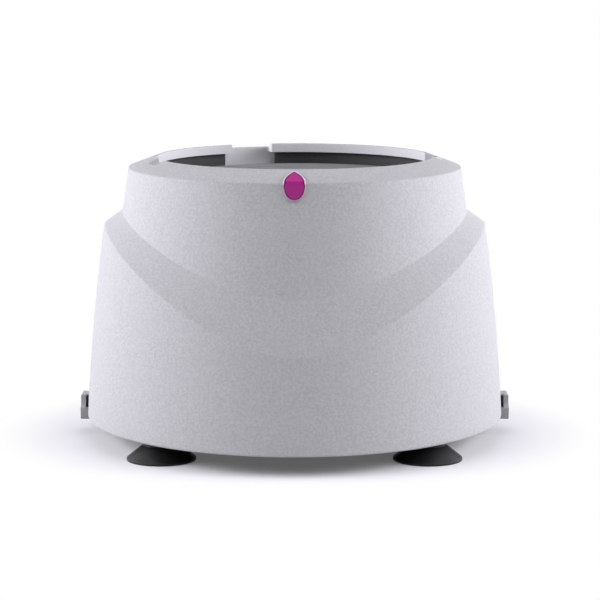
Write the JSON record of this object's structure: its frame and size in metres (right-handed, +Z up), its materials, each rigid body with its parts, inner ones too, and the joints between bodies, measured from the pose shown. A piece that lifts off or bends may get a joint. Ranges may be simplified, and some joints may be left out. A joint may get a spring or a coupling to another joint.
{
  "type": "vortex mixer drive unit",
  "caption": "Round tapered vortex mixer base with a bayonet well, orbiting platform, side latches, rear controls and suction feet.",
  "frame": {"origin": "on the drive axis, on the surface that the suction feet stand on", "axes": "+Z up along the drive axis, -Y to the front with the indicator, +X to the right latch"},
  "size_m": [0.1868, 0.181, 0.1217],
  "materials": {
    "housing_plastic": "fine speckled grain",
    "base_plastic": "satin moulded",
    "liner_plastic": "satin moulded",
    "lens_magenta": "gloss translucent",
    "led_clear": "clear",
    "circuit_board": "solder mask",
    "sheet_aluminium": "brushed",
    "black_rubber": "satin",
    "mat_rubber": "matt",
    "bush_plastic": "acetal",
    "motor_steel": "zinc plated",
    "bright_steel": "bright",
    "black_plastic": "satin",
    "terminal_brass": "bright",
    "weight_brass": "turned",
    "capacitor_sleeve": "shrink sleeve",
    "platform_plastic": "satin moulded",
    "latch_plastic": "satin moulded",
    "knob_plastic": "satin",
    "rocker_plastic": "gloss"
  },
  "bodies": {
    "base": {"housing": "housing_plastic", "base_plate": "base_plastic", "foot_front_left": "black_rubber", "foot_front_right": "black_rubber", "foot_rear_left": "black_rubber", "foot_rear_right": "black_rubber", "well_liner": "liner_plastic", "indicator_lens": "lens_magenta", "indicator_led": "led_clear", "indicator_board": "circuit_board", "deck_plate": "sheet_aluminium", "deck_dampers": "black_rubber", "deck_screws": "bright_steel", "guide_bushes": "bush_plastic", "motor_can": "motor_steel", "motor_cap": "black_plastic", "motor_terminals": "terminal_brass", "motor_screws": "bright_steel", "control_board": "circuit_board", "board_screws": "bright_steel", "capacitors": "capacitor_sleeve", "heat_sink": "sheet_aluminium", "speed_pot": "black_plastic", "pot_nut": "bright_steel", "switch_frame": "black_plastic", "power_jack": "black_plastic", "power_jack_pin": "terminal_brass"},
    "drive": {"motor_shaft": "bright_steel", "eccentric_hub": "sheet_aluminium", "counterweight": "weight_brass", "hub_set_screw": "bright_steel", "bearing_inner_race": "bright_steel", "bearing_balls": "bright_steel", "bearing_screw": "bright_steel"},
    "platform": {"mixing_platform": "platform_plastic", "platform_mat": "mat_rubber", "bearing_outer_race": "bright_steel", "guide_pins": "bright_steel"},
    "right_latch": {"right_latch_lever": "latch_plastic", "right_latch_pad": "black_rubber", "right_latch_pin": "bright_steel"},
    "left_latch": {"left_latch_lever": "latch_plastic", "left_latch_pad": "black_rubber", "left_latch_pin": "bright_steel"},
    "speed_dial": {"speed_knob": "knob_plastic", "speed_shaft": "bright_steel"},
    "power_switch": {"power_rocker": "rocker_plastic"}
  },
  "joints": [
    {"name": "drive_spin", "type": "hinge", "parent": "base", "child": "drive", "pos_m": [0, 0, 0.0933], "axis": [0, 0, 1], "continuous": true},
    {"name": "platform_orbit", "type": "hinge", "parent": "drive", "child": "platform", "pos_m": [0.002, 0, 0.1007], "axis": [0, 0, 1], "continuous": true},
    {"name": "right_latch_swing", "type": "hinge", "parent": "base", "child": "right_latch", "pos_m": [0.09133, 0, 0.0096], "axis": [0, 1, 0], "range_deg": [0, 80]},
    {"name": "left_latch_swing", "type": "hinge", "parent": "base", "child": "left_latch", "pos_m": [-0.09133, 0, 0.0096], "axis": [0, -1, 0], "range_deg": [0, 80]},
    {"name": "speed_knob_turn", "type": "hinge", "parent": "base", "child": "speed_dial", "pos_m": [-0.019, 0.0785, 0.0311], "axis": [0, -1, 0], "range_deg": [0, 300]},
    {"name": "power_rocker_tilt", "type": "hinge", "parent": "base", "child": "power_switch", "pos_m": [0.0035, 0.077, 0.0311], "axis": [0, 0, -1], "range_deg": [0, 16]}
  ],
  "couplings": [
    {"joint": "platform_orbit", "follows": "drive_spin", "ratio": -1}
  ]
}
